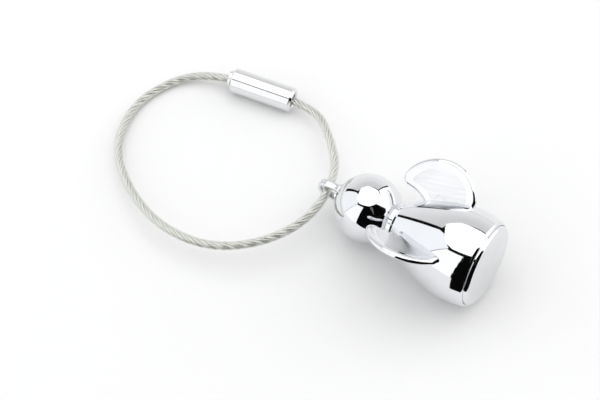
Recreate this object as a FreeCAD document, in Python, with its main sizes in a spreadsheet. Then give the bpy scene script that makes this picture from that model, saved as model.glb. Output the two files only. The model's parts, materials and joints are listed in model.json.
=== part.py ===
"""Angel-shaped key charm on a screw-lock wire ring, as a parametric FreeCAD document.

Frame: millimetres, +Z up, the table at Z = 0.  The charm lies face down with its head
towards -X and its base towards +X, and its plane of symmetry is XZ.  The origin is under
the middle of the charm's own box.  "Along" is measured from the ball's centre towards the
base on the charm's axis, and "along" in the connector is measured from the mouth of the
barrel towards its back lip.
"""

import FreeCAD
import Part
import Sketcher
import math
import os
from FreeCAD import Placement, Rotation, Vector

# name, millimetres (or what the note says), note
SIZES = (
    ("head_radius", 7.35, "ball that makes the head"),
    ("cut_past", 1.0, "cutting outlines run this far past a face"),
    ("seat_gap", 0.02, "glue gap between seated pieces"),
    ("collar_start", 5.6, "along: blank of the neck collar starts inside the ball"),
    ("collar_radius", 3.6, "neck collar where it meets the ball"),
    ("collar_end", 7.5, "along: top edge of the shoulder"),
    ("collar_top_radius", 4.3, "radius of that edge"),
    ("shoulder_end", 8.3, "along: end of the shoulder round"),
    ("shoulder_radius", 5.45, "gown radius there"),
    ("shoulder_round", 1.4, "radius of the shoulder round"),
    ("flank_back", 5.7, "flank meets the belly arc this far before the widest place"),
    ("flank_round", 49.0, "radius of the flank arc"),
    ("belly_back", 5.0, "widest place of the gown, this far before the rim's end"),
    ("belly_radius", 10.1, "gown radius at its widest"),
    ("belly_round", 19.0, "radius of the belly arc"),
    ("rim_length", 0.6, "belly arc ends this far before the rim's end"),
    ("gown_end", 27.9, "along: end of the gown's rim"),
    ("rim_round", 0.6, "radius of the rim round"),
    ("rim_drop", 0.48, "the rim's flat starts this far inside the belly arc's end"),
    ("gown_wall", 1.6, "wall of the hollow gown"),
    ("cavity_start", 11.6, "along: hollow starts"),
    ("cavity_start_radius", 5.3, "radius of the hollow there"),
    ("ledge_depth", 1.2, "ledge of the base disc, this far before the rim's end"),
    ("ledge_radius", 8.1, "inner radius of that ledge"),
    ("disc_radius", 8.85, "base disc"),
    ("disc_fit", 0.05, "radial gap round the base disc"),
    ("disc_proud", 0.9, "base disc stands this far out of the rim"),
    ("disc_round", 0.9, "radius of the disc's edge"),
    ("dowel_radius", 1.5, "pin that joins the ball and the gown"),
    ("dowel_start", 3.7, "along: pin's end in the ball"),
    ("dowel_end", 10.4, "along: pin's end in the gown"),
    ("dowel_chamfer", 0.3, "pin's end chamfer"),
    ("eye_along", 9.9, "eyelet arc centre, beyond the ball"),
    ("eye_outer", 2.5, "outer radius of the eyelet's arc"),
    ("eye_hole", 1.55, "inner radius of the eyelet's arc"),
    ("eye_width", 1.7, "width of the eyelet's band"),
    ("eye_splay", 0.15, "how far each leg spreads towards the ball"),
    ("eye_root", 6.1, "legs end this far from the ball's centre"),
    ("wing_angle", 48.5, "degrees from the back's middle line"),
    ("wing_front", 10.8, "along: wing root's front end"),
    ("wing_front_radius", 6.7, "distance from the axis there"),
    ("wing_neck", 6.2, "along: lower end of the wing tip"),
    ("wing_neck_radius", 8.3, "distance from the axis there"),
    ("wing_neck_round", 8.9, "radius of the front edge's arc"),
    ("wing_tip", 5.1, "along: wing tip"),
    ("wing_tip_radius", 11.0, "distance from the axis there"),
    ("wing_tip_round", 2.0, "radius of the wing tip"),
    ("wing_top", 13.6, "along: highest place of the wing"),
    ("wing_top_radius", 16.6, "distance from the axis there"),
    ("wing_rear", 21.4, "along: wing root's rear end"),
    ("wing_rear_radius", 10.9, "distance from the axis there"),
    ("wing_root_radius", 4.6, "blank of the wing reaches this far in"),
    ("wing_thick", 1.2, "wing plate"),
    ("wing_blank", 8.0, "depth of the block that the dished wing is cut from"),
    ("wing_dish", 0.5, "depth of the wing's hollow face"),
    ("wing_dish_round", 45.0, "radius of that hollow"),
    ("wing_tenon", 0.8, "wing root sinks this deep into the gown"),
    ("barrel_radius", 2.8, "connector barrel"),
    ("barrel_length", 14.8, "connector barrel"),
    ("barrel_chamfer", 0.45, "both ends of the barrel"),
    ("thread_bore", 2.05, "radius of the threaded mouth, at the thread's crest line"),
    ("thread_depth", 4.9, "along: end of the threaded mouth"),
    ("cavity_step", 0.25, "barrel's chamber is this much wider in radius than the mouth"),
    ("lip_thick", 1.3, "back lip that ends the chamber"),
    ("lip_slack", 0.6, "radial gap between the lip and the cable"),
    ("lip_chamfer", 0.3, "round of that hole"),
    ("stud_fit", 0.05, "radial running gap between stud and mouth"),
    ("stud_length", 3.6, "stud inside the barrel"),
    ("stud_collar", 0.8, "stud that stands out of the barrel"),
    ("stud_chamfer", 0.25, "stud's end chamfer"),
    ("cable_radius", 1.0, "coated cable"),
    ("coat", 0.15, "clear coat over the bare wire rope"),
    ("cable_in_stud", 3.0, "along: cable's end in the stud"),
    ("ferrule_length", 3.6, "stop ferrule"),
    ("ferrule_play", 0.1, "gap between the stop ferrule and the slip washer"),
    ("ferrule_radius", 1.75, "stop ferrule"),
    ("cable_seat", 2.4, "cable sits this deep in the stop ferrule"),
    ("washer_play", 0.1, "gap between the slip washer and the lip"),
    ("washer_thick", 0.7, "slip washer"),
    ("washer_gap", 0.1, "radial gap between the slip washer and the chamber"),
    ("washer_slack", 0.15, "radial gap between the slip washer and the cable"),
    ("barrel_x", -52.87, "middle of the barrel's mouth"),
    ("barrel_y", 13.68, "middle of the barrel's mouth"),
    ("barrel_yaw", 10.84, "degrees, barrel's direction from +X towards +Y"),
    ("lead_out", 6.5, "cable's first run, from its end in the stud"),
    ("lead_in", 5.0, "last corner of the cable, behind the barrel's lip"),
)

# Corners of the cable's loose route between the lead out and the lead in (x, y, z).
LOOP = (
    (-64.5, 8.0, 1.0),
    (-68.5, -3.5, 1.0),
    (-64.5, -15.0, 2.0),
    (-55.0, -22.5, 3.5),
    (-44.0, -26.5, 4.5),
    (-32.0, -25.5, 5.5),
    (-22.5, -18.5, 6.5),
    (-17.5, -8.0, 6.5),
    (-19.0, 4.5, 6.0),
    (-26.5, 12.5, 5.0),
)
ARC_SHARE = 0.45  # a bend uses this share of its shorter run
VOLUME_SLACK = 0.01  # the swept cable's volume may differ by this share
ON_AXIS = 1e-9  # a coordinate under this many millimetres is nought


class Size:
    """A length that knows its number and the spreadsheet expression it comes from."""

    def __init__(self, text, value):
        self.text = text
        self.value = value

    def _with(self, other, sign, value):
        text = other.text if isinstance(other, Size) else repr(other)
        return Size("(%s %s %s)" % (self.text, sign, text), value)

    def __add__(self, other):
        return self._with(other, "+", self.value + number(other))

    def __sub__(self, other):
        return self._with(other, "-", self.value - number(other))

    def __mul__(self, other):
        return self._with(other, "*", self.value * number(other))

    def __truediv__(self, other):
        return self._with(other, "/", self.value / number(other))

    def __neg__(self):
        return Size("(0 - %s)" % self.text, -self.value)

    def root(self):
        return Size("sqrt(%s)" % self.text, math.sqrt(self.value))


def number(value):
    return value.value if isinstance(value, Size) else value


def make_sheet(doc):
    """The spreadsheet with one named cell for each driving size."""
    sheet = doc.addObject("Spreadsheet::Sheet", "Sizes")
    for row, (name, value, note) in enumerate(SIZES, 1):
        sheet.set("A%d" % row, name)
        sheet.set("B%d" % row, str(value))
        sheet.set("C%d" % row, note)
        sheet.setAlias("B%d" % row, name)
    doc.recompute()
    return sheet


doc = FreeCAD.newDocument("key_charm")
sheet = make_sheet(doc)
d = {name: Size("Sizes." + name, float(sheet.get(name))) for name, _, _ in SIZES}
zero = 0.0

# Places and radii that follow from the sheet's sizes.
d["belly_along"] = d["gown_end"] - d["belly_back"]
d["belly_end"] = d["gown_end"] - d["rim_length"]
d["flank_end"] = d["belly_along"] - d["flank_back"]
d["ledge_along"] = d["gown_end"] - d["ledge_depth"]
d["disc_face"] = d["gown_end"] + d["disc_proud"]
d["cavity_bore"] = d["thread_bore"] + d["cavity_step"]
d["lip_along"] = d["barrel_length"] - d["lip_thick"]
d["lip_hole"] = d["cable_radius"] + d["lip_slack"]
d["core_radius"] = d["cable_radius"] - d["coat"]
d["washer_start"] = d["lip_along"] - d["washer_play"] - d["washer_thick"]
d["washer_radius"] = d["cavity_bore"] - d["washer_gap"]
d["washer_hole"] = d["cable_radius"] + d["washer_slack"]
d["ferrule_end"] = d["washer_start"] - d["ferrule_play"]
d["ferrule_start"] = d["ferrule_end"] - d["ferrule_length"]
d["cable_in_ferrule"] = d["ferrule_end"] - d["cable_seat"]


# ---------------------------------------------------------------- helpers


def bind(feature, **sizes):
    """Binds properties of a feature to expressions of the spreadsheet."""
    for name, size in sizes.items():
        feature.setExpression(name, size.text)


def origin_plane(body, role):
    return [f for f in body.Origin.OriginFeatures if f.Role == role][0]


def body_with_sketch(label, role="XY_Plane"):
    body = doc.addObject("PartDesign::Body", label)
    body.Label = label
    return body, sketch_on(body, label + "_outline", role)


def sketch_on(body, name, role="XY_Plane"):
    sketch = body.newObject("Sketcher::SketchObject", name)
    sketch.AttachmentSupport = (origin_plane(body, role), [""])
    sketch.MapMode = "FlatFace"
    return sketch


def arc_of(start, end, radius, left):
    """Short arc from start to end, bulging to the left or right of that direction."""
    chord = end - start
    middle = (start + end) * 0.5
    reach = math.sqrt(max(radius**2 - (chord.Length / 2) ** 2, 0.0))
    side = Vector(-chord.y, chord.x, 0).normalize() * (1 if left else -1)
    centre = middle - side * reach
    first, last = (end, start) if left else (start, end)
    a0 = math.atan2(first.y - centre.y, first.x - centre.x)
    a1 = math.atan2(last.y - centre.y, last.x - centre.x)
    if a1 < a0:
        a1 += 2 * math.pi
    circle = Part.Circle(centre, Vector(0, 0, 1), radius)
    return Part.ArcOfCircle(circle, a0, a1)


def place_point(sketch, geometry, point, coordinate, kind):
    """Ties one coordinate of a sketch point to its expression."""
    value = number(coordinate)
    if abs(value) < ON_AXIS:
        axis = -2 if kind == "DistanceX" else -1
        sketch.addConstraint(Sketcher.Constraint("PointOnObject", geometry, point, axis))
        return
    ends = (-1, 1, geometry, point) if value > 0 else (geometry, point, -1, 1)
    row = sketch.addConstraint(Sketcher.Constraint(kind, *ends, abs(value)))
    if isinstance(coordinate, Size):
        size = coordinate if value > 0 else -coordinate
        sketch.setExpression("Constraints[%d]" % row, size.text)


def draw_outline(sketch, corners):
    """Closed outline.  A corner is (x, y) or (x, y, radius, side): the edge that leaves
    it is then an arc of that radius, bulging to the "left" or "right" of its direction."""
    flat = [Vector(number(c[0]), number(c[1]), 0) for c in corners]
    count = len(corners)
    first_of_outline = sketch.GeometryCount
    ends = []
    for i, corner in enumerate(corners):
        start, end = flat[i], flat[(i + 1) % count]
        if len(corner) == 2:
            sketch.addGeometry(Part.LineSegment(start, end), False)
            ends.append((1, 2))
        else:
            left = corner[3] == "left"
            sketch.addGeometry(arc_of(start, end, number(corner[2]), left), False)
            ends.append((2, 1) if left else (1, 2))
    for i, corner in enumerate(corners):
        here, following = first_of_outline + i, first_of_outline + (i + 1) % count
        joint = (here, ends[i][1], following, ends[(i + 1) % count][0])
        sketch.addConstraint(Sketcher.Constraint("Coincident", *joint))
    for i, corner in enumerate(corners):
        here = first_of_outline + i
        place_point(sketch, here, ends[i][0], corner[0], "DistanceX")
        place_point(sketch, here, ends[i][0], corner[1], "DistanceY")
        if len(corner) > 2:
            size = corner[2]
            row = sketch.addConstraint(Sketcher.Constraint("Radius", here, number(size)))
            sketch.setExpression("Constraints[%d]" % row, size.text)


def turned(label, corners, placement):
    """Body of revolution about its own X axis from an outline of (along, radius)."""
    body, sketch = body_with_sketch(label)
    draw_outline(sketch, corners)
    turn = body.newObject("PartDesign::Revolution", label + "_turn")
    turn.Profile = sketch
    turn.ReferenceAxis = (sketch, ["H_Axis"])
    turn.Angle = 360
    body.Placement = placement
    doc.recompute()
    return body


def bored(body, name, corners):
    """Groove about the body's X axis, checked to have taken material away."""
    before = body.Shape.Volume
    sketch = sketch_on(body, name + "_outline")
    draw_outline(sketch, corners)
    groove = body.newObject("PartDesign::Groove", name)
    groove.Profile = sketch
    groove.ReferenceAxis = (sketch, ["H_Axis"])
    groove.Angle = 360
    doc.recompute()
    if body.Shape.Volume >= before:
        raise ValueError(name + " cut nothing")
    return groove


def cylinder(name, radius, length, placement):
    shape = doc.addObject("Part::Cylinder", name)
    bind(shape, Radius=radius, Height=length)
    shape.Placement = placement
    return shape


def sphere(name, radius, placement):
    shape = doc.addObject("Part::Sphere", name)
    bind(shape, Radius=radius)
    shape.Placement = placement
    return shape


def cut(label, base, tool):
    result = doc.addObject("Part::Cut", label)
    result.Label = label
    result.Base = base
    result.Tool = tool
    return result


def fuse(label, shapes):
    result = doc.addObject("Part::MultiFuse", label)
    result.Shapes = shapes
    return result


# ---------------------------------------------------------------- where things are


def lying_tilt():
    """Angle by which the axis rises towards the base when ball and belly touch the table.

    The table is the common tangent of the ball's circle and the belly's circle."""
    along = number(d["belly_along"])
    centre = number(d["belly_radius"] - d["belly_round"])
    distance = math.hypot(along, centre)
    gap = number(d["head_radius"] - d["belly_round"])
    return math.atan2(centre, along) + math.acos(gap / distance) - math.pi / 2


TILT = lying_tilt()


def middle_of_charm():
    """Half way between the eyelet's end and the base disc's foremost place, from the ball."""
    back = -number(d["eye_along"]) * math.cos(TILT) - number(d["eye_outer"])
    edge = number(d["disc_round"])
    along = number(d["disc_face"]) - edge
    across = number(d["disc_radius"]) - edge
    front = along * math.cos(TILT) + across * math.sin(TILT) + edge
    return (front + back) / 2


CHARM = Placement(
    Vector(-middle_of_charm(), 0, number(d["head_radius"])),
    Rotation(Vector(0, 1, 0), -math.degrees(TILT)),
)
RING = Placement(
    Vector(number(d["barrel_x"]), number(d["barrel_y"]), number(d["barrel_radius"])),
    Rotation(Vector(0, 0, 1), number(d["barrel_yaw"])),
)
ALONG_Z = Rotation(Vector(0, 1, 0), 90)  # turns a primitive's Z axis onto X


def in_charm(x, y=0.0, z=0.0, turn=None):
    return CHARM.multiply(Placement(Vector(x, y, z), turn or Rotation()))


# ---------------------------------------------------------------- charm


def belly_at(along, inset):
    """Radius of the belly arc at a place along the axis, less an inset."""
    sag = (along - d["belly_along"]) * (along - d["belly_along"])
    reach = (d["belly_round"] * d["belly_round"] - sag).root()
    return reach + d["belly_radius"] - d["belly_round"] - inset


def gown_outline(inset):
    """Outside of the gown from the collar to the rim, moved towards the axis by inset."""
    return (
        (d["collar_start"], zero),
        (d["collar_start"], d["collar_radius"] - inset),
        (d["collar_end"], d["collar_top_radius"] - inset, d["shoulder_round"], "left"),
        (d["shoulder_end"], d["shoulder_radius"] - inset, d["flank_round"], "left"),
        (d["flank_end"], belly_at(d["flank_end"], inset), d["belly_round"], "left"),
        (d["belly_end"], belly_at(d["belly_end"], inset), d["rim_round"], "left"),
        (d["gown_end"], belly_at(d["belly_end"], inset) - d["rim_drop"]),
        (d["gown_end"], zero),
    )


def gown_blank():
    blank = turned("gown_blank", gown_outline(zero), CHARM)
    seat_radius = d["disc_radius"] + d["disc_fit"]
    mouth = d["gown_end"] + d["cut_past"]
    hollow = (
        (d["cavity_start"], zero),
        (d["cavity_start"], d["cavity_start_radius"]),
        (d["flank_end"], belly_at(d["flank_end"], d["gown_wall"])),
        (d["belly_along"], belly_at(d["belly_along"], d["gown_wall"])),
        (d["ledge_along"], d["ledge_radius"]),
        (d["ledge_along"], seat_radius),
        (mouth, seat_radius),
        (mouth, zero),
    )
    bored(blank, "gown_hollow", hollow)
    hole_end = d["dowel_end"] + d["seat_gap"]
    hole_radius = d["dowel_radius"] + d["seat_gap"]
    hole_start = d["collar_start"] - d["cut_past"]
    hole = (
        (hole_start, zero),
        (hole_start, hole_radius),
        (hole_end, hole_radius),
        (hole_end, zero),
    )
    bored(blank, "gown_dowel_hole", hole)
    return blank


def wing_outline():
    """Wing plate in (along, distance from the axis); both top arcs are level at the top."""

    def top_arc(end_along, end_radius):
        run = d["wing_top"] - end_along
        rise = d["wing_top_radius"] - end_radius
        return (run * run + rise * rise) / (rise * 2)

    front_arc = top_arc(d["wing_tip"], d["wing_tip_radius"])
    rear_arc = top_arc(d["wing_rear"], d["wing_rear_radius"])
    return (
        (d["wing_front"], d["wing_root_radius"]),
        (d["wing_front"], d["wing_front_radius"], d["wing_neck_round"], "right"),
        (d["wing_neck"], d["wing_neck_radius"], d["wing_tip_round"], "left"),
        (d["wing_tip"], d["wing_tip_radius"], front_arc, "left"),
        (d["wing_top"], d["wing_top_radius"], rear_arc, "left"),
        (d["wing_rear"], d["wing_rear_radius"]),
        (d["wing_rear"], d["wing_root_radius"]),
    )


def wings(gown_inner):
    """Right wing cut from a hollow shell by its outline, and the left as its mirror."""
    stand = in_charm(0, turn=Rotation(Vector(1, 0, 0), 90 - number(d["wing_angle"])))
    plate, sketch = body_with_sketch("wing_plate")
    draw_outline(sketch, wing_outline())
    pad = plate.newObject("PartDesign::Pad", "wing_pad")
    pad.Profile = sketch
    pad.SideType = "Symmetric"
    bind(pad, Length=d["wing_blank"])
    plate.Placement = stand
    middle = number(d["wing_top"])
    height = number((d["wing_top_radius"] + d["wing_front_radius"]) / 2)
    lift = number(d["wing_dish_round"] - d["wing_dish"])
    ball = stand.multiply(Placement(Vector(middle, height, lift), Rotation()))
    outer = sphere("wing_shell_outer", d["wing_dish_round"] + d["wing_thick"] / 2, ball)
    inner = sphere("wing_shell_inner", d["wing_dish_round"] - d["wing_thick"] / 2, ball)
    shell = cut("wing_shell", outer, inner)
    blank = doc.addObject("Part::Common", "wing_blank")
    blank.Base = plate
    blank.Tool = shell
    right = cut("wing_right", blank, gown_inner)
    left = doc.addObject("Part::Mirroring", "wing_left")
    left.Label = "wing_left"
    left.Source = right
    left.Normal = (0, 1, 0)
    return left, right


def eyelet():
    """Flat loop with two legs let into the ball, hole across the charm."""
    body, sketch = body_with_sketch("head_eyelet", "XZ_Plane")
    root = -d["eye_root"]
    centre = -d["eye_along"]
    outer_leg = d["eye_outer"] + d["eye_splay"]
    inner_leg = d["eye_hole"] + d["eye_splay"]
    outline = (
        (root, outer_leg),
        (centre, d["eye_outer"], d["eye_outer"], "right"),
        (centre - d["eye_outer"], zero, d["eye_outer"], "right"),
        (centre, -d["eye_outer"]),
        (root, -outer_leg),
        (root, -inner_leg),
        (centre, -d["eye_hole"], d["eye_hole"], "left"),
        (centre - d["eye_hole"], zero, d["eye_hole"], "left"),
        (centre, d["eye_hole"]),
        (root, inner_leg),
    )
    draw_outline(sketch, outline)
    pad = body.newObject("PartDesign::Pad", "eyelet_pad")
    pad.Profile = sketch
    pad.SideType = "Symmetric"
    bind(pad, Length=d["eye_width"])
    body.Placement = CHARM
    doc.recompute()
    return body


def head(eye):
    """Solid ball with a hole for the dowel and sockets for the eyelet's legs."""
    ball = sphere("head_ball", d["head_radius"], CHARM)
    start = number(d["dowel_start"] - d["seat_gap"])
    hole = cylinder(
        "head_dowel_hole",
        d["dowel_radius"] + d["seat_gap"],
        d["head_radius"],
        in_charm(start, turn=ALONG_Z),
    )
    return cut("head", ball, fuse("head_holes", [hole, eye]))


def dowel():
    start, end = d["dowel_start"], d["dowel_end"]
    chamfer = d["dowel_chamfer"]
    radius = d["dowel_radius"]
    outline = (
        (start, zero),
        (start, radius - chamfer),
        (start + chamfer, radius),
        (end - chamfer, radius),
        (end, radius - chamfer),
        (end, zero),
    )
    return turned("neck_dowel", outline, CHARM)


def base_disc():
    back = d["ledge_along"] + d["seat_gap"]
    edge = d["disc_face"] - d["disc_round"]
    outline = (
        (back, zero),
        (back, d["disc_radius"]),
        (edge, d["disc_radius"], d["disc_round"], "left"),
        (d["disc_face"], d["disc_radius"] - d["disc_round"]),
        (d["disc_face"], zero),
    )
    return turned("base_disc", outline, CHARM)


# ---------------------------------------------------------------- ring and connector


def barrel():
    chamfer = d["barrel_chamfer"]
    length = d["barrel_length"]
    radius = d["barrel_radius"]
    lip = d["lip_chamfer"]
    outline = (
        (zero, d["thread_bore"]),
        (zero, radius - chamfer),
        (chamfer, radius),
        (length - chamfer, radius),
        (length, radius - chamfer),
        (length, d["lip_hole"] + lip),
        (length - lip, d["lip_hole"]),
        (d["lip_along"], d["lip_hole"]),
        (d["lip_along"], d["cavity_bore"]),
        (d["thread_depth"], d["cavity_bore"]),
        (d["thread_depth"], d["thread_bore"]),
    )
    return turned("screw_barrel", outline, RING)


def stud():
    """Stud on the cable's fixed end; its plain outside stands for the thread's crests."""
    radius = d["thread_bore"] - d["stud_fit"]
    chamfer = d["stud_chamfer"]
    back = -d["stud_collar"]
    outline = (
        (back, d["cable_radius"]),
        (back, radius - chamfer),
        (back + chamfer, radius),
        (d["stud_length"] - chamfer, radius),
        (d["stud_length"], radius - chamfer),
        (d["stud_length"], zero),
        (d["cable_in_stud"], zero),
        (d["cable_in_stud"], d["cable_radius"]),
    )
    return turned("threaded_stud", outline, RING)


def ferrule():
    chamfer = d["stud_chamfer"]
    start, end = d["ferrule_start"], d["ferrule_end"]
    radius = d["ferrule_radius"]
    outline = (
        (start, zero),
        (start, radius - chamfer),
        (start + chamfer, radius),
        (end - chamfer, radius),
        (end, radius - chamfer),
        (end, d["cable_radius"]),
        (d["cable_in_ferrule"], d["cable_radius"]),
        (d["cable_in_ferrule"], zero),
    )
    return turned("stop_ferrule", outline, RING)


def washer():
    start = d["washer_start"]
    end = start + d["washer_thick"]
    outline = (
        (start, d["washer_hole"]),
        (start, d["washer_radius"]),
        (end, d["washer_radius"]),
        (end, d["washer_hole"]),
    )
    return turned("slip_washer", outline, RING)


def on_barrel_axis(along):
    return RING.multVec(Vector(along, 0, 0))


def cable_corners():
    lip_end = number(d["barrel_length"])
    corners = [on_barrel_axis(number(d["cable_in_stud"]))]
    corners.append(on_barrel_axis(-number(d["lead_out"]) + number(d["cable_in_stud"])))
    corners += [Vector(*point) for point in LOOP]
    corners.append(on_barrel_axis(lip_end + number(d["lead_in"])))
    corners.append(on_barrel_axis(number(d["cable_in_ferrule"])))
    return corners


def cable_path(corners):
    """Straight runs joined by tangent arcs, each as large as its two runs allow."""
    edges = []
    radii = []
    here = corners[0]
    for before, corner, after in zip(corners, corners[1:], corners[2:]):
        back = before - corner
        ahead = after - corner
        half_turn = (math.pi - back.getAngle(ahead)) / 2
        reach = ARC_SHARE * min(back.Length, ahead.Length)
        radius = reach / math.tan(half_turn)
        back.normalize()
        ahead.normalize()
        start = corner + back * reach
        end = corner + ahead * reach
        inward = (back + ahead).normalize()
        middle = corner + inward * (radius / math.cos(half_turn) - radius)
        edges.append(Part.LineSegment(here, start).toShape())
        edges.append(Part.Arc(start, middle, end).toShape())
        radii.append(radius)
        here = end
    edges.append(Part.LineSegment(here, corners[-1]).toShape())
    print("cable bend radii, mm:", " ".join("%.1f" % r for r in radii))
    print("cable length, mm: %.1f" % sum(edge.Length for edge in edges))
    return Part.Wire(edges)


def swept_solid(path, outer, inner):
    """Tube along the path; its volume is compared with its section times its length."""
    start = path.Edges[0].Vertexes[0].Point
    along = path.Edges[0].tangentAt(path.Edges[0].FirstParameter)

    def rod(radius):
        section = Part.Wire([Part.makeCircle(radius, start, along)])
        return path.makePipeShell([section], True, False)

    solid = rod(outer)
    area = math.pi * outer**2
    if inner:
        solid = solid.cut(rod(inner))
        area -= math.pi * inner**2
    wanted = area * path.Length
    if abs(solid.Volume / wanted - 1) > VOLUME_SLACK:
        raise ValueError("cable volume %.1f is not %.1f" % (solid.Volume, wanted))
    return solid


def cable():
    path = cable_path(cable_corners())
    outer, inner = number(d["cable_radius"]), number(d["core_radius"])
    pieces = []
    for label, sizes in (("cable_core", (inner, 0)), ("cable_jacket", (outer, inner))):
        piece = doc.addObject("Part::Feature", label)
        piece.Label = label
        piece.Shape = swept_solid(path, *sizes)
        piece.Placement = Placement()
        pieces.append(piece)
    return pieces


# ---------------------------------------------------------------- assembly and export


def gown_and_wings():
    inner = turned("gown_inner", gown_outline(d["wing_tenon"]), CHARM)
    left, right = wings(inner)
    ball_seat = sphere("gown_ball_seat", d["head_radius"] + d["seat_gap"], CHARM)
    sockets = fuse("gown_sockets", [left, right, ball_seat])
    return [cut("gown_shell", gown_blank(), sockets), left, right]


def build():
    loop = eyelet()
    charm = gown_and_wings() + [head(loop), loop, dowel(), base_disc()]
    connector = [barrel(), stud(), ferrule(), washer()]
    return charm + connector + cable()


def check(nodes):
    doc.recompute()
    failed = [o.Name for o in doc.Objects if {"Invalid", "Error"} & set(o.State)]
    if failed:
        raise ValueError("failed objects: " + ", ".join(failed))
    for node in nodes:
        shape = node.Shape
        if shape.isNull() or not shape.isValid() or len(shape.Solids) != 1:
            raise ValueError(node.Label + " is not one valid solid")
        print("%-14s %8.2f mm3" % (node.Label, shape.Volume))


def export(nodes):
    os.makedirs("parts", exist_ok=True)
    for node in nodes:
        node.Shape.exportStep("parts/%s.step" % node.Label)


nodes = build()
check(nodes)
export(nodes)
print("axis rises %.2f degrees; ball centre at x %.3f" % (math.degrees(TILT), CHARM.Base.x))
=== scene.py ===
"""Looks of a winged figure charm on a coated wire ring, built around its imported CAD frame.

The frame gives the charm's and the connector's axes, and each of their pieces is a grid of
points worked out by numpy in those axes.  Lengths are metres; outlines are written in
millimetres and multiplied by MM.  "Along" is measured from the ball's centre towards the
base on the charm, and from the barrel's mouth towards its lip on the connector."""

import json
import math

import bmesh
import bpy
import numpy as np
from bpy.props import FloatProperty, FloatVectorProperty, IntProperty, PointerProperty
from mathutils import Matrix, Vector


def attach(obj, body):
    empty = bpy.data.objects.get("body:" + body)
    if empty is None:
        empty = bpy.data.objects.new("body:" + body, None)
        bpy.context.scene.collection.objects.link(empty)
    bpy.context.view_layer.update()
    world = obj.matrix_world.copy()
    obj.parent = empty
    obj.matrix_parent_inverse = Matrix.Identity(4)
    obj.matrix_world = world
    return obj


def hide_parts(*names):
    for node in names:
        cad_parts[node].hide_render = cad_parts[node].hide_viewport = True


bl_info = {
    "name": "Winged Key Charm",
    "version": (1, 0, 0),
    "blender": (4, 5, 0),
    "location": "View3D > Sidebar > Key Charm",
    "description": "Builds the polished charm, its coated wire ring and the studio",
    "category": "Object",
}

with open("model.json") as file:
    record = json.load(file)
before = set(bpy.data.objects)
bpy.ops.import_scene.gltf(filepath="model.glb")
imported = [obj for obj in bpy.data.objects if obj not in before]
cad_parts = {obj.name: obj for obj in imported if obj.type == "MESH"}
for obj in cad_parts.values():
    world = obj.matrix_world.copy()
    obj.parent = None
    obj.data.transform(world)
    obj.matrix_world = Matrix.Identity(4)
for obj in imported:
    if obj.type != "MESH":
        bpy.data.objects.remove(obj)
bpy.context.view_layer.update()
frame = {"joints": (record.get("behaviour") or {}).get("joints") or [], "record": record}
MM = 0.001

# Control points of the cable's centreline, from its end in the stud round to the ferrule's.
CABLE_ROUTE = np.array([
    (-49.924, 14.244, 2.8), (-56.307, 13.022, 2.8), (-64.5, 8.0, 1.0), (-68.5, -3.5, 1.0),
    (-64.5, -15.0, 2.0), (-55.0, -22.5, 3.5), (-44.0, -26.5, 4.5), (-32.0, -25.5, 5.5),
    (-22.5, -18.5, 6.5), (-17.5, -8.0, 6.5), (-19.0, 4.5, 6.0), (-26.5, 12.5, 5.0),
    (-33.423, 17.404, 2.8), (-42.852, 15.598, 2.8),
]) * MM


# ------------------------------------------------------------------ sizes and colours


def length(name, millimetres, text):
    return FloatProperty(
        name=name, description=text, default=millimetres * MM, unit="LENGTH", precision=5
    )


def share(name, value, text):
    return FloatProperty(
        name=name, description=text, default=value, min=0.0, max=1.0, subtype="FACTOR"
    )


def colour(name, value, text):
    return FloatVectorProperty(
        name=name, description=text, default=value, size=3, min=0.0, max=1.0, subtype="COLOR"
    )


class CharmSizes(bpy.types.PropertyGroup):
    """Sizes of the cast figure."""

    ball: length("Ball", 7.35, "Radius of the ball that makes the head")
    gap: length("Seat gap", 0.02, "Glue gap between seated pieces")
    belly: length("Belly", 10.1, "Radius of the gown at its widest")
    face: length("Base face", 28.8, "Along: flat face of the base disc")
    disc: length("Base disc", 8.85, "Radius of the base disc")
    disc_round: length("Disc edge", 0.9, "Radius of the base disc's edge")
    eye_centre: length("Eyelet centre", 9.9, "Centre of the eyelet's arc, beyond the ball's centre")
    eye_line: length("Eyelet arc", 2.025, "Radius of the eyelet's centre line")
    eye_band: length("Eyelet band", 0.95, "Thickness of the eyelet's band")
    eye_width: length("Eyelet width", 1.7, "Width of the eyelet's band")
    wing_thick: length("Wing plate", 1.2, "Thickness of a wing")
    wing_edge: length("Wing edge", 0.85, "Radius of a wing's rounded edge")
    wing_face: length("Wing face", 5.4, "Mean distance from the face's middle to the rim")
    wing_round: length("Wing hollow", 45.0, "Radius of a wing's hollow face")
    wing_dish: length("Wing dish", 0.5, "Depth of a wing's hollow face")
    wing_angle: FloatProperty(
        name="Wing angle",
        description="Angle of a wing from the middle of the back",
        default=math.radians(48.5),
        subtype="ANGLE",
    )


class RingSizes(bpy.types.PropertyGroup):
    """Sizes of the wire ring and its screw connector."""

    cable: length("Cable", 2.0, "Diameter of the coated cable")
    rope: length("Wire rope", 1.7, "Diameter of the bare wire rope in the coat")
    lay: length("Lay", 9.2, "Length along the rope in which a strand goes round once")
    strands: IntProperty(name="Strands", description="Strands round the middle one", default=6)
    barrel: length("Barrel", 2.8, "Radius of the connector's barrel")
    barrel_length: length("Barrel length", 14.8, "Length of the connector's barrel")
    pitch: length("Thread pitch", 0.7, "Travel of the barrel for each turn")
    thread: length("Thread depth", 0.38, "Depth of the stud's thread")
    stud: length("Stud", 2.0, "Radius of the stud over its thread")


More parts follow.
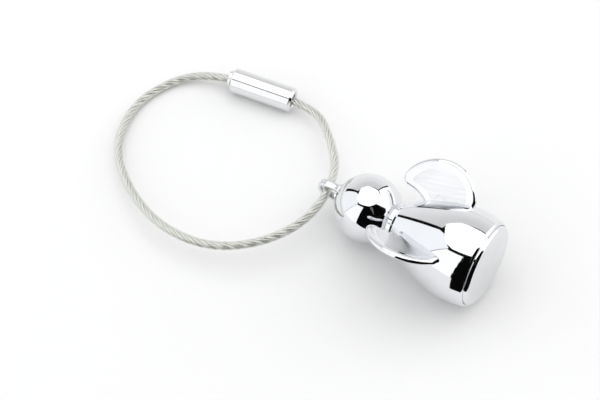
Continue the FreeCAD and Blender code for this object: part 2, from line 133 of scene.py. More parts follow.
class Finishes(bpy.types.PropertyGroup):
    """Colours and finishes."""

    charm: colour("Charm plating", (0.80, 0.81, 0.83), "Colour of the charm's chrome")
    connector: colour("Connector plating", (0.80, 0.805, 0.815), "Colour of the barrel's chrome")
    steel: colour("Turned steel", (0.56, 0.565, 0.575), "Colour of the hidden steel pieces")
    wire: colour("Wire", (0.80, 0.81, 0.765), "Colour of the wire rope")
    coat: colour("Coat", (0.90, 0.915, 0.86), "Colour of the cable's plastic coat")
    coat_cover: share("Coat cover", 0.16, "How much the plastic coat hides the wire")
    floor: colour("Table", (0.90, 0.90, 0.90), "Colour of the table")
    polish: share("Polish", 0.035, "Roughness of the polished plating")


def sizes():
    return bpy.context.scene.charm_sizes


def ring_sizes():
    return bpy.context.scene.charm_ring_sizes


def finishes():
    return bpy.context.scene.charm_finishes


# ------------------------------------------------------------------ places from the frame


def named(entries, name):
    return next(entry for entry in entries if entry["name"] == name)


def axes_at(origin, along):
    """Matrix at a point, with X along a direction and Z as near to upright as it can be."""
    x = Vector(along).normalized()
    y = Vector((0, 0, 1)).cross(x).normalized()
    turn = Matrix((x, y, x.cross(y))).transposed().to_4x4()
    return Matrix.Translation(origin) @ turn


def charm_axes():
    face = named(frame["record"]["mounts"], "base_face")
    along = Vector(face["axis"]).normalized()
    return axes_at(Vector(face["pos_m"]) - along * sizes().face, along)


def ring_axes():
    turn = named(frame["joints"], "barrel_turn")
    return axes_at(turn["pos_m"], turn["axis"])


# ------------------------------------------------------------------ outlines


def unit(vectors):
    lengths = np.linalg.norm(vectors, axis=-1, keepdims=True)
    return vectors / np.maximum(lengths, 1e-12)


def rounded(corners, closed=False, steps=9):
    """Outline whose corners (x, y, r) become arcs of radius r that touch both sides.

    With u and v the directions from a corner to its neighbours and a half the angle between
    them, the arc runs from corner + u r / tan a to corner + v r / tan a about the centre
    corner + unit(u + v) r / sin a; points between are weighted by sines of the swept angle."""
    corners = np.asarray(corners, float) * MM
    spots, radii = corners[:, :2], corners[:, 2:]
    before, after = np.roll(spots, 1, axis=0), np.roll(spots, -1, axis=0)
    u, v = unit(before - spots), unit(after - spots)
    half = np.arccos(np.clip((u * v).sum(axis=1, keepdims=True), -1, 1)) / 2
    centre = spots + unit(u + v) * radii / np.sin(half)
    first = spots + u * radii / np.tan(half) - centre
    last = spots + v * radii / np.tan(half) - centre
    swept = 1 - 2 * half / math.pi
    s = np.linspace(0, 1, steps)[:, None, None]
    whole = np.sinc(swept)
    ahead, behind = s * np.sinc(s * swept), (1 - s) * np.sinc((1 - s) * swept)
    arcs = centre + (behind * first + ahead * last) / whole
    arcs = arcs.transpose(1, 0, 2)
    if closed:
        return distinct(arcs.reshape(-1, 2))
    inner = arcs[1:-1].reshape(-1, 2)
    return distinct(np.vstack([spots[:1], inner, spots[-1:]]))


def distinct(line):
    """Outline without points that repeat the one before."""
    apart = np.linalg.norm(np.diff(line, axis=0), axis=1) > 1e-8
    return line[np.append(True, apart)]


def arc(start, end, radius, count):
    """Arc in millimetres from start to end that bulges to the left of that direction.

    Its centre lies right of the chord's middle by sqrt(radius^2 - (chord / 2)^2)."""
    start, end = np.asarray(start, float), np.asarray(end, float)
    chord = end - start
    half = np.linalg.norm(chord) / 2
    left = np.array([-chord[1], chord[0]]) / (2 * half)
    centre = (start + end) / 2 - left * math.sqrt(max(radius**2 - half**2, 0.0))
    swept = 2 * math.asin(min(half / radius, 1.0))
    s = np.linspace(0, 1, count)[:, None]
    mix = np.sin((1 - s) * swept) * (start - centre) + np.sin(s * swept) * (end - centre)
    return (centre + mix / math.sin(swept)) * MM


def braced(line, gap=0.05 * MM):
    """Outline with a point near each end of every long side, which keeps flats flat."""
    step = np.diff(line, axis=0)
    inward = unit(step) * gap
    block = np.stack([line[:-1], line[:-1] + inward, line[1:] - inward], axis=1)
    keep = np.ones(block.shape[:2], bool)
    keep[:, 1:] = (np.linalg.norm(step, axis=1) > 4 * gap)[:, None]
    return np.vstack([block[keep], line[-1:]])


# ------------------------------------------------------------------ surfaces


def linked(name, data):
    """New object that holds the data, in the scene's collection."""
    made = bpy.data.objects.new(name, data)
    bpy.context.scene.collection.objects.link(made)
    return made


def skin(name, grid, place=None, closed=False):
    """Smooth closed mesh over a grid of points (rows, columns, xyz), whose columns go round.

    The first and last rows have shrunk to points, or closed joins the last row to the first.
    The UV map holds the distance along the rows in metres and the share of the way round."""
    rows, columns = grid.shape[:2]
    index = np.arange(rows * columns).reshape(rows, columns)
    along = np.append(0, np.cumsum(np.linalg.norm(np.diff(grid, axis=0), axis=2).mean(axis=1)))
    if closed:
        index = np.vstack([index, index[:1]])
        along = np.append(along, along[-1] + np.linalg.norm(grid[-1] - grid[0], axis=1).mean())
    ahead = np.roll(index, -1, axis=1)
    quads = np.stack([index[:-1], index[1:], ahead[1:], ahead[:-1]], axis=-1).reshape(-1, 4)
    row, column = np.divmod(np.arange(len(quads)), columns)
    u = along[row[:, None] + np.array([0, 1, 1, 0])]
    v = (column[:, None] + np.array([0, 0, 1, 1])) / columns
    mesh = bpy.data.meshes.new(name)
    mesh.from_pydata(grid.reshape(-1, 3), [], quads.tolist())
    layer = mesh.uv_layers.new(name="UVMap")
    layer.data.foreach_set("uv", np.stack([u, v], axis=-1).astype(np.float32).ravel())
    made = bmesh.new()
    made.from_mesh(mesh)
    bmesh.ops.remove_doubles(made, verts=made.verts, dist=1e-7)
    bmesh.ops.recalc_face_normals(made, faces=made.faces)
    made.to_mesh(mesh)
    made.free()
    if place is not None:
        mesh.transform(place)
    mesh.shade_smooth()
    mesh.set_sharp_from_angle(angle=math.radians(38))
    return linked(name, mesh)


def lathe(line, columns, carve=None):
    """Grid of an outline (along, radius) turned about the along axis.

    Point = (along, r cos t, r sin t), where carve(along, t, radius) may change the radius."""
    turn = np.linspace(0, 2 * math.pi, columns, endpoint=False)[None, :]
    along, radius = line[:, :1] + 0 * turn, line[:, 1:] + 0 * turn
    if carve is not None:
        radius = carve(along, turn, radius)
    return np.stack([along, radius * np.cos(turn), radius * np.sin(turn)], axis=-1)


def capped(grid):
    """Grid with a row at each end that has shrunk to the end row's middle."""
    first = np.broadcast_to(grid[:1].mean(axis=1, keepdims=True), grid[:1].shape)
    last = np.broadcast_to(grid[-1:].mean(axis=1, keepdims=True), grid[-1:].shape)
    return np.concatenate([first, grid, last])


def tube(centres, side, across, width, height, power, columns):
    """Grid of a section carried along a line of centres.

    Section = centre + side w c(t) + across h c(t - 90 degrees), with c(t) the cosine raised
    to 2 / power and its sign kept, so power 2 is an ellipse and 4 a rounded rectangle."""
    turn = np.linspace(0, 2 * math.pi, columns, endpoint=False)[None, :, None]

    def bulged(wave):
        return np.sign(wave) * np.abs(wave) ** (2 / power)

    sideways = side[:, None] * np.reshape(width, (-1, 1, 1)) * bulged(np.cos(turn))
    upwards = across[:, None] * np.reshape(height, (-1, 1, 1)) * bulged(np.sin(turn))
    return centres[:, None] + sideways + upwards


def finish_piece(piece, body, slot, material, *nodes):
    """Gives a piece its material and body, and hides the CAD nodes that it stands for; slot is not
    used.
    """
    piece.data.materials.clear()
    piece.data.materials.append(material)
    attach(piece, body)
    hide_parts(*nodes)
    return piece


# ------------------------------------------------------------------ node groups


def new_group(name, inputs, outputs):
    """Empty shader node group with named float or vector sockets."""
    group = bpy.data.node_groups.new(name, "ShaderNodeTree")
    kinds = {"float": "NodeSocketFloat", "vector": "NodeSocketVector"}
    for label, kind in inputs:
        group.interface.new_socket(name=label, in_out="INPUT", socket_type=kinds[kind])
    for label, kind in outputs:
        group.interface.new_socket(name=label, in_out="OUTPUT", socket_type=kinds[kind])
    return group, group.nodes.new("NodeGroupInput"), group.nodes.new("NodeGroupOutput")


def node(tree, kind, values=None, **settings):
    """Adds a node, sets its properties and its sockets' values, or links them."""
    made = tree.nodes.new(kind)
    for name, value in settings.items():
        setattr(made, name, value)
    for key, value in (values or {}).items():
        socket = made.inputs[key]
        if isinstance(value, bpy.types.NodeSocket):
            tree.links.new(value, socket)
        else:
            socket.default_value = value
    return made


def maths(tree, operation, a, b=0.0, c=0.0):
    return node(tree, "ShaderNodeMath", {0: a, 1: b, 2: c}, operation=operation).outputs[0]


def spread(tree, value, low, high, to_low, to_high):
    """Eased map of a value from one range to another."""
    values = {"Value": value, 1: low, 2: high, 3: to_low, 4: to_high}
    return node(tree, "ShaderNodeMapRange", values, interpolation_type="SMOOTHSTEP").outputs[0]


def noise(tree, vector, scale, detail=2.0, roughness=0.5):
    values = {"Vector": vector, "Scale": scale, "Detail": detail, "Roughness": roughness}
    return node(tree, "ShaderNodeTexNoise", values).outputs["Fac"]


def polish_group():
    """Marks of a polished plated casting: buffing lines, faint waviness and handling film.

    Buffing lines are noise squeezed along one axis, waviness is broad noise under them, and
    the film is broad noise eased to a mask, with the worn edges (high pointiness) added."""
    inputs = [("Vector", "vector"), ("Pointiness", "float"), ("Grain", "float"), ("Wave", "float")]
    outputs = [("Height", "float"), ("Film", "float"), ("Wear", "float")]
    tree, given, out = new_group("polish marks", inputs, outputs)
    squeeze = {0: given.outputs["Vector"], 1: (0.12, 1.0, 1.0)}
    squeeze = node(tree, "ShaderNodeVectorMath", squeeze, operation="MULTIPLY")
    lines = noise(tree, squeeze.outputs[0], 7000.0, 3.0)
    waves = noise(tree, given.outputs["Vector"], 420.0, 1.0)
    fine = maths(tree, "MULTIPLY", lines, given.outputs["Grain"])
    broad = maths(tree, "MULTIPLY", waves, given.outputs["Wave"])
    tree.links.new(maths(tree, "ADD", fine, broad), out.inputs["Height"])
    film = noise(tree, given.outputs["Vector"], 160.0, 4.0, 0.6)
    tree.links.new(spread(tree, film, 0.42, 0.68, 0.0, 1.0), out.inputs["Film"])
    edge = spread(tree, given.outputs["Pointiness"], 0.52, 0.60, 0.0, 1.0)
    patches = noise(tree, given.outputs["Vector"], 1500.0, 3.0)
    worn = maths(tree, "MULTIPLY", edge, spread(tree, patches, 0.35, 0.6, 0.0, 1.0))
    tree.links.new(worn, out.inputs["Wear"])
    return tree


def lathe_group():
    """Marks of turning: fine rings at the tool's feed, from the distance along the piece."""
    inputs = [("Vector", "vector"), ("Feed", "float")]
    outputs = [("Height", "float"), ("Film", "float")]
    tree, given, out = new_group("turning marks", inputs, outputs)
    parts = node(tree, "ShaderNodeSeparateXYZ", {0: given.outputs["Vector"]})
    ring = maths(tree, "SINE", maths(tree, "DIVIDE", parts.outputs[0], given.outputs["Feed"]))
    chatter = noise(tree, given.outputs["Vector"], 900.0, 3.0)
    tree.links.new(maths(tree, "MULTIPLY", ring, chatter), out.inputs["Height"])
    tree.links.new(spread(tree, chatter, 0.4, 0.7, 0.0, 1.0), out.inputs["Film"])
    return tree


def brushed_group():
    """Straight brushing inside a wing: a mask from the distance to the face's middle, lines
    of noise squeezed along the brushing, and the shade that they leave.

    With s the brushing's direction and p the place, mirrored to one side, the noise is read
    at p - 0.95 s (p . s)."""
    inputs = [("Vector", "vector"), ("Reach", "float"), ("Edge", "float")]
    outputs = [("Height", "float"), ("Dull", "float"), ("Shade", "float")]
    tree, given, out = new_group("brushed face", inputs, outputs)
    out_to_rim = maths(tree, "DIVIDE", given.outputs["Reach"], given.outputs["Edge"])
    inside = spread(tree, out_to_rim, 0.96, 1.0, 1.0, 0.0)
    way = Vector((0.968, 0.225, 0.320)).normalized()
    place = {0: given.outputs["Vector"]}
    place = node(tree, "ShaderNodeVectorMath", place, operation="ABSOLUTE").outputs[0]
    plain = node(tree, "ShaderNodeSeparateXYZ", {0: given.outputs["Vector"]}).outputs
    side = node(tree, "ShaderNodeSeparateXYZ", {0: place}).outputs[1]
    place = {0: plain[0], 1: side, 2: plain[2]}
    place = node(tree, "ShaderNodeCombineXYZ", place).outputs[0]
    run = node(tree, "ShaderNodeVectorMath", {0: place, 1: way}, operation="DOT_PRODUCT")
    run = maths(tree, "MULTIPLY", run.outputs["Value"], -0.95)
    drawn = node(tree, "ShaderNodeCombineXYZ", {0: run, 1: run, 2: run}).outputs[0]
    squeeze = {0: drawn, 1: way, 2: place}
    squeeze = node(tree, "ShaderNodeVectorMath", squeeze, operation="MULTIPLY_ADD").outputs[0]
    lines = noise(tree, squeeze, 3600.0, 3.0, 0.6)
    broad = noise(tree, squeeze, 700.0, 2.0)
    tree.links.new(maths(tree, "MULTIPLY", lines, inside), out.inputs["Height"])
    tree.links.new(inside, out.inputs["Dull"])
    shade = spread(tree, maths(tree, "MULTIPLY_ADD", lines, 0.6, broad), 0.6, 1.0, 0.0, 1.0)
    tree.links.new(maths(tree, "MULTIPLY", shade, inside), out.inputs["Shade"])
    return tree


def shared(name, build):
    """The node group of that name, built the first time that it is asked for."""
    return bpy.data.node_groups.get(name) or build()


# ------------------------------------------------------------------ materials


def start_material(name, tint, metallic, roughness):
    """Material with a Principled shader; returns it, its tree and the shader."""
    material = bpy.data.materials.new(name)
    material.use_nodes = True
    tree = material.node_tree
    shader = tree.nodes["Principled BSDF"]
    shader.inputs["Base Color"].default_value = (*tint, 1)
    shader.inputs["Metallic"].default_value = metallic
    shader.inputs["Roughness"].default_value = roughness
    material.diffuse_color = (*tint, 1)
    return material, tree, shader


def deepened(tint, factor):
    return tuple(channel * factor for channel in tint)


def bumped(tree, shader, height, strength, depth, **under):
    """Puts the relief of a height on the shader's normal, over another normal if one is given."""
    values = {"Height": height, "Strength": strength, "Distance": depth, **under}
    bump = node(tree, "ShaderNodeBump", values)
    tree.links.new(bump.outputs[0], shader.inputs["Normal"])


def tinted(tree, mask, base, other):
    """Colour that goes from base to other as the mask goes from 0 to 1."""
    mix = node(tree, "ShaderNodeMix", {"Factor": mask}, data_type="RGBA")
    mix.inputs[6].default_value = (*base, 1)
    mix.inputs[7].default_value = (*other, 1)
    return mix.outputs[2]


def wing_chrome():
    """The charm's chrome, brushed to a satin shine inside the wings' rims."""
    tint, polish = finishes().charm, finishes().polish
    material = plated("wing chrome", tint, polish, CHARM_GRAIN, CHARM_WAVE)
    tree = material.node_tree
    shader = tree.nodes["Principled BSDF"]
    marks = node(tree, "ShaderNodeGroup", node_tree=shared("brushed face", brushed_group))
    places = node(tree, "ShaderNodeTexCoord").outputs
    tree.links.new(places["Object"], marks.inputs["Vector"])
    reach = node(tree, "ShaderNodeSeparateXYZ", {0: places["UV"]}).outputs[0]
    tree.links.new(reach, marks.inputs["Reach"])
    marks.inputs["Edge"].default_value = sizes().wing_face
    rough = shader.inputs["Roughness"].links[0].from_socket
    rough = maths(tree, "MULTIPLY_ADD", marks.outputs["Dull"], 0.13, rough)
    tree.links.new(rough, shader.inputs["Roughness"])
    base = node(tree, "ShaderNodeMix", {"Factor": marks.outputs["Shade"]}, data_type="RGBA")
    tree.links.new(shader.inputs["Base Color"].links[0].from_socket, base.inputs[6])
    base.inputs[7].default_value = (*deepened(tint, 0.91), 1)
    tree.links.new(base.outputs[2], shader.inputs["Base Color"])
    polished = shader.inputs["Normal"].links[0].from_socket
    bumped(tree, shader, marks.outputs["Height"], 0.35, 0.004 * MM, Normal=polished)
    return material


def plated(name, tint, polish, grain, wave):
    """Mirror chrome with buffing lines, a faint film from handling and slightly worn edges."""
    material, tree, shader = start_material(name, tint, 1.0, polish)
    spot = node(tree, "ShaderNodeTexCoord").outputs["Object"]
    point = node(tree, "ShaderNodeNewGeometry").outputs["Pointiness"]
    values = {"Vector": spot, "Pointiness": point, "Grain": grain, "Wave": wave}
    marks = node(tree, "ShaderNodeGroup", node_tree=shared("polish marks", polish_group))
    for key, value in values.items():
        if isinstance(value, float):
            marks.inputs[key].default_value = value
        else:
            tree.links.new(value, marks.inputs[key])
    rough = maths(tree, "MULTIPLY_ADD", marks.outputs["Film"], polish * 0.9, polish)
    rough = maths(tree, "MULTIPLY_ADD", marks.outputs["Wear"], 0.10, rough)
    tree.links.new(rough, shader.inputs["Roughness"])
    darker = deepened(tint, 0.965)
    tree.links.new(tinted(tree, marks.outputs["Film"], tint, darker), shader.inputs["Base Color"])
    bumped(tree, shader, marks.outputs["Height"], 1.0, 0.001 * MM)
    return material


def turned_steel():
    """Plain turned steel with rings left by the tool."""
    tint = finishes().steel
    material, tree, shader = start_material("turned steel", tint, 1.0, 0.28)
    marks = node(tree, "ShaderNodeGroup", node_tree=shared("turning marks", lathe_group))
    uv = node(tree, "ShaderNodeTexCoord").outputs["UV"]
    tree.links.new(uv, marks.inputs["Vector"])
    marks.inputs["Feed"].default_value = 0.012 * MM
    rough = maths(tree, "MULTIPLY_ADD", marks.outputs["Film"], 0.18, 0.22)
    tree.links.new(rough, shader.inputs["Roughness"])
    bumped(tree, shader, marks.outputs["Height"], 0.6, 0.002 * MM)
    return material


WIRES_PER_METRE, WIRES_ROUND = 260.0, 6


def wire_rope():
    """Bright drawn wire: each strand shows the finer wires that it is twisted from.

    The height is sin 2 pi (a u + b v), with u metres along the strand, v turns round it, a
    the wires passed in a metre and b the wires round a strand."""
    tint = finishes().wire
    material, tree, shader = start_material("wire rope", tint, 1.0, 0.34)
    parts = node(tree, "ShaderNodeSeparateXYZ", {0: node(tree, "ShaderNodeTexCoord").outputs["UV"]})
    lengthwise = maths(tree, "MULTIPLY", parts.outputs[0], 2 * math.pi * WIRES_PER_METRE)
    phase = maths(tree, "MULTIPLY_ADD", parts.outputs[1], 2 * math.pi * WIRES_ROUND, lengthwise)
    wires = maths(tree, "SINE", phase)
    # Painted shade: the base colour darkens to 0.62 of the wire's colour in the grooves between the
    # fine wires.
    groove_shade = spread(tree, wires, -1.0, 0.1, 1.0, 0.0)
    groove_shaded_colour = tinted(tree, groove_shade, tint, deepened(tint, 0.62))
    tree.links.new(groove_shaded_colour, shader.inputs["Base Color"])
    spot = node(tree, "ShaderNodeTexCoord").outputs["Object"]
    rough = maths(tree, "MULTIPLY_ADD", noise(tree, spot, 900.0, 3.0), 0.2, 0.25)
    tree.links.new(rough, shader.inputs["Roughness"])
    bumped(tree, shader, wires, 0.8, 0.02 * MM)
    return material


def plastic_coat():
    """Clear, slightly milky extruded coat; haze and cover vary a little along it."""
    tint = finishes().coat
    material, tree, shader = start_material("cable coat", tint, 0.0, 0.22)
    spot = node(tree, "ShaderNodeTexCoord").outputs["Object"]
    haze = noise(tree, spot, 260.0, 3.0, 0.6)
    cover = finishes().coat_cover
    tree.links.new(maths(tree, "MULTIPLY_ADD", haze, 0.06, cover - 0.03), shader.inputs["Alpha"])
    tree.links.new(maths(tree, "MULTIPLY_ADD", haze, 0.15, 0.14), shader.inputs["Roughness"])
    yellowed = (tint[0] * 0.985, tint[1] * 0.985, tint[2] * 0.965)
    tree.links.new(tinted(tree, haze, tint, yellowed), shader.inputs["Base Color"])
    ripple = noise(tree, spot, 1200.0, 2.0)
    bumped(tree, shader, ripple, 0.5, 0.01 * MM)
    shader.inputs["IOR"].default_value = 1.46
    return material


def table_top():
    """Pale matt board, with a faint mottle."""
    tint = finishes().floor
    material, tree, shader = start_material("table", tint, 0.0, 0.75)
    spot = node(tree, "ShaderNodeTexCoord").outputs["Object"]
    mottle = noise(tree, spot, 40.0, 4.0, 0.6)
    mottled = tinted(tree, mottle, tint, deepened(tint, 0.985))
    tree.links.new(mottled, shader.inputs["Base Color"])
    shader.inputs["Specular IOR Level"].default_value = 0.0
    return material


CHARM_GRAIN, CHARM_WAVE = 0.12, 4.0
CONNECTOR_GRAIN, CONNECTOR_WAVE = 0.10, 1.5


def charm_chrome():
    name, tint, polish = "charm chrome", finishes().charm, finishes().polish
    made = bpy.data.materials.get(name)
    return made or plated(name, tint, polish, CHARM_GRAIN, CHARM_WAVE)


def connector_chrome():
    name, tint, polish = "connector chrome", finishes().connector, finishes().polish
    made = bpy.data.materials.get(name)
    return made or plated(name, tint, polish, CONNECTOR_GRAIN, CONNECTOR_WAVE)


def hidden_steel():
    return bpy.data.materials.get("turned steel") or turned_steel()


# ------------------------------------------------------------------ charm


# Places as (along, radius), with the rounding as a third number, in millimetres.
GOWN_COLLAR = ((6.38, 4.05, 0.15), (7.45, 3.95, 0.22), (7.62, 4.75, 0.25))
GOWN_SHOULDER = (8.3, 5.45)
COLLAR_RADIUS = 3.85  # where the collar meets the ball
FLANK_ROUND = 49.0
FLANK_END = 17.2
BELLY_ALONG = 22.9  # widest place
BELLY_ROUND = 19.0
BELLY_END = 27.3
RIM_ROUND = 0.9
RIM = (27.9, 9.10)
SEAT_RADIUS = 8.9  # of the recess that holds the base disc
LEDGE = (26.7, 8.1)
GOWN_WALL = 1.6
CAVITY = (11.6, 5.3)
DOWEL_RADIUS = 1.5
DOWEL_SPAN = (3.7, 10.4)
DOWEL_BREAK = 0.3  # chamfer of its ends
EYELET_ROOT = 6.1  # legs end this far from the ball's centre
EYELET_SPLAY = 0.15  # each leg spreads this far towards the ball
CHARM_COLUMNS = 224


def belly_at(along, inset=0.0):
    """Gown radius on the belly arc: sqrt(R^2 - (along - widest)^2) + belly - R - inset."""
    reach = math.sqrt(BELLY_ROUND**2 - (along - BELLY_ALONG) ** 2)
    return reach + sizes().belly / MM - BELLY_ROUND - inset


def on_ball(radius, grow=0.0):
    """Along of the point of the ball's surface at that distance from the axis."""
    return math.sqrt((sizes().ball / MM + grow) ** 2 - radius**2)


def gown_outline():
    """Outline from the dowel's hole over the collar, shoulder, flank, belly and rim, and
    back through the disc's seat and the hollow to the axis."""
    gap = sizes().gap / MM
    hole = DOWEL_RADIUS + gap
    seat = on_ball(COLLAR_RADIUS, gap), COLLAR_RADIUS
    socket = [(DOWEL_SPAN[1] + gap, 0), (DOWEL_SPAN[1] + gap, hole)]
    flank_end = FLANK_END, belly_at(FLANK_END)
    belly_end = BELLY_END, belly_at(BELLY_END)
    inner = rounded([
        (*RIM, 0), (RIM[0], SEAT_RADIUS, 0.12), (LEDGE[0], SEAT_RADIUS, 0.05), (*LEDGE, 0.3),
        (FLANK_END, belly_at(FLANK_END, GOWN_WALL), 2.0), (*CAVITY, 0.8), (CAVITY[0], 0, 0),
    ])
    parts = [
        np.array(socket) * MM,
        arc(seat, (on_ball(hole, gap), hole), sizes().ball / MM + gap, 12)[::-1],
        rounded([(*seat, 0), *GOWN_COLLAR, (*GOWN_SHOULDER, 0)]),
        arc(GOWN_SHOULDER, flank_end, FLANK_ROUND, 40),
        arc(flank_end, belly_end, BELLY_ROUND, 40),
        arc(belly_end, RIM, RIM_ROUND, 10),
        inner,
    ]
    return braced(distinct(np.vstack(parts)))


def ball_outline():
    """Half circle from the eyelet's side to the dowel's hole, and the hole back to the axis."""
    radius, hole = sizes().ball, (DOWEL_RADIUS + sizes().gap / MM) * MM
    sweep = np.linspace(0, math.pi - math.asin(hole / radius), 120)[:, None]
    skin_line = radius * np.hstack([-np.cos(sweep), np.sin(sweep)])
    start = DOWEL_SPAN[0] * MM
    return braced(np.vstack([skin_line, [(start, hole)], [(start, 0)]]))


def disc_outline():
    """Flat disc with a rounded front edge and a small break at the back edge."""
    radius, face = sizes().disc / MM, sizes().face / MM
    back = LEDGE[0] + sizes().gap / MM
    return braced(rounded([
        (back, 0, 0), (back, radius, 0.15), (face, radius, sizes().disc_round / MM), (face, 0, 0),
    ], steps=16))


def dowel_outline():
    start, end = DOWEL_SPAN
    radius, tip = DOWEL_RADIUS, DOWEL_RADIUS - DOWEL_BREAK
    return braced(rounded([
        (start, 0, 0), (start, tip, 0.05), (start + DOWEL_BREAK, radius, 0.1),
        (end - DOWEL_BREAK, radius, 0.1), (end, tip, 0.05), (end, 0, 0),
    ]))


def eyelet_grid():
    """Band carried up one leg, round the arc and down the other, flaring where it meets the
    ball: at a height h over the ball its section grows by half of e^(-h / 0.28 mm)."""
    centre, line = sizes().eye_centre, sizes().eye_line
    root, splay = EYELET_ROOT * MM, EYELET_SPLAY * MM
    leg = np.linspace(0, 1, 48)[:-1, None]
    up = np.hstack([-root + (root - centre) * leg, line + splay * (1 - leg)])
    turn = np.linspace(0, math.pi, 64)[:, None]
    over = np.hstack([-centre - line * np.sin(turn), line * np.cos(turn)])
    path = np.vstack([up, over, (up * (1, -1))[::-1]])
    flat = np.insert(path, 1, 0.0, axis=1)
    along = unit(np.gradient(flat, axis=0))
    across = np.broadcast_to(np.array([0.0, 1.0, 0.0]), flat.shape)
    above = np.maximum(np.linalg.norm(flat, axis=1) - sizes().ball, 0)
    flare = 1 + 0.5 * np.exp(-above / (0.28 * MM))
    flare = np.where(np.linalg.norm(flat, axis=1) < sizes().ball, 1.5, flare)
    grown = sizes().eye_band / 2 * flare, sizes().eye_width / 2 * (1 + (flare - 1) * 0.6)
    return capped(tube(flat, np.cross(across, along), across, *grown, 3.2, 36))


# Places of a wing as (along, distance from the axis), in millimetres.
WING_FRONT, WING_NECK, WING_TIP = (10.8, 6.7), (6.2, 8.3), (5.1, 11.0)
WING_TOP, WING_REAR, WING_ROOT = (13.6, 16.6), (21.4, 10.9), 4.6
WING_MIDDLE, WING_DISH_MIDDLE = (13.6, 9.6), (13.6, 11.65)
WING_NECK_ROUND, WING_TIP_ROUND = 8.9, 2.0


def wing_outline():
    """Closed outline (along, distance from the axis) of a wing: root, hollow front edge,
    round tip, and two arcs that are level at the top."""
    front, top, rear, root = WING_FRONT, WING_TOP, WING_REAR, WING_ROOT

    def level_radius(end):
        run, rise = top[0] - end[0], top[1] - end[1]
        return (run * run + rise * rise) / (2 * rise)

    line = np.vstack([
        np.linspace((front[0], root), front, 6)[:-1] * MM,
        arc(WING_NECK, front, WING_NECK_ROUND, 18)[::-1],
        arc(WING_NECK, WING_TIP, WING_TIP_ROUND, 16),
        arc(WING_TIP, top, level_radius(WING_TIP), 44),
        arc(top, rear, level_radius(rear), 44),
        np.linspace(rear, (rear[0], root), 14)[1:] * MM,
        np.linspace((rear[0], root), (front[0], root), 24)[1:-1] * MM,
    ])
    return softened(distinct(line))


def softened(line):
    """Closed outline smoothed by one pass of (before + 2 here + after) / 4."""
    return (np.roll(line, 1, axis=0) + 2 * line + np.roll(line, -1, axis=0)) / 4


def wing_grid(side):
    """Dished leaf with a rounded edge.

    Rows run from the middle of the hollow face, over the edge and to the middle of the back.
    A row is the outline moved in by its inset and drawn towards the middle by its share, and
    lifted by its height above the dish R - depth - sqrt(R^2 - distance^2)."""
    outline = wing_outline()
    middle, dish_at = np.array(WING_MIDDLE) * MM, np.array(WING_DISH_MIDDLE) * MM
    tangent = unit(np.roll(outline, -1, axis=0) - np.roll(outline, 1, axis=0))
    inward = np.stack([tangent[:, 1], -tangent[:, 0]], axis=1)
    half, big, inside = sizes().wing_thick / 2 / MM, sizes().wing_round, 30
    rim = rounded([
        (1.30, half, 0), (0, half, sizes().wing_edge / MM), (0, -half, 0.32), (1.0, -half, 0),
    ], steps=14)
    full = np.ones(len(rim))
    shares = np.concatenate([np.linspace(0, 0.985, inside), full, np.linspace(0.985, 0, inside)])
    insets = np.concatenate([np.full(inside, rim[0, 0]), rim[:, 0], np.full(inside, rim[-1, 0])])
    heights = np.concatenate([np.full(inside, rim[0, 1]), rim[:, 1], np.full(inside, rim[-1, 1])])
    edge = outline[None] + inward[None] * insets[:, None, None]
    spots = middle + (edge - middle) * shares[:, None, None]
    dish = big - sizes().wing_dish - np.sqrt(big**2 - ((spots - dish_at) ** 2).sum(axis=2))
    out, lift = spots[..., 1], dish + heights[:, None]
    angle = sizes().wing_angle
    sideways = out * math.sin(angle) - lift * math.cos(angle)
    upwards = out * math.cos(angle) + lift * math.sin(angle)
    return np.stack([spots[..., 0], side * sideways, upwards], axis=-1)


# ------------------------------------------------------------------ connector and cable


def thread_wave(along, turn):
    """Rounded right-hand thread: 1 on the crest and 0 in the root, one turn for each pitch."""
    phase = along / ring_sizes().pitch - turn / (2 * math.pi)
    wave = 0.5 + 0.5 * np.cos(2 * math.pi * phase)
    return wave * wave * (3 - 2 * wave)


def eased(value, low, high):
    """0 below low, 1 above high, and smooth between."""
    s = np.clip((value - low) / (high - low), 0, 1)
    return s * s * (3 - 2 * s)


# Places along the connector, and radii, in millimetres.
BARREL_THREAD = 4.9  # the threaded mouth ends here
BARREL_CHAMBER = 2.3
BARREL_LIP = (13.5, 1.6)  # where the chamber ends, and the radius of the lip's hole
BARREL_BEVEL = 0.45
STUD_BACK, STUD_END = -0.8, 3.6
STUD_SEAT = 3.0  # the cable ends here in the stud
THREAD_GAP = 0.05
FERRULE_SPAN, FERRULE_RADIUS = (9.0, 12.6), 1.75
FERRULE_SEAT = 10.2  # the cable ends here in the ferrule
WASHER_SPAN, WASHER_RADII = (12.7, 13.4), (1.15, 2.2)


def barrel_grid():
    """Sleeve with bevelled ends, a threaded mouth, a chamber and a back lip."""
    s = ring_sizes()
    radius, end = s.barrel / MM, s.barrel_length / MM
    bore, chamber, bevel = s.stud / MM + THREAD_GAP, BARREL_CHAMBER, BARREL_BEVEL
    lip, hole = BARREL_LIP
    outside = rounded([
        (BARREL_THREAD, bore, 0), (BARREL_THREAD, chamber, 0.1), (lip, chamber, 0.1),
        (lip, hole, 0.05), (end - 0.3, hole, 0.2), (end, hole + 0.3, 0.12),
        (end, radius - bevel, 0.14), (end - bevel, radius, 0.2), (bevel, radius, 0.2),
        (0, radius - bevel, 0.14), (0, bore + 0.12, 0.08), (0.12, bore, 0),
    ])
    mouth = np.linspace((0.12, bore), (BARREL_THREAD, bore), 130)[1:-1] * MM

    def carve(along, turn, r):
        inside = (r < (bore + 0.001) * MM) & (along < BARREL_THREAD * MM) & (along > 0.1 * MM)
        ends = eased(along, 0.15 * MM, 0.7 * MM) * (1 - eased(along, 4.1 * MM, 4.8 * MM))
        crest = (s.thread - 0.05 * MM) * (1 - thread_wave(along, turn))
        return r - np.where(inside, crest * ends, 0)

    return lathe(np.vstack([braced(outside), mouth]), 160, carve)


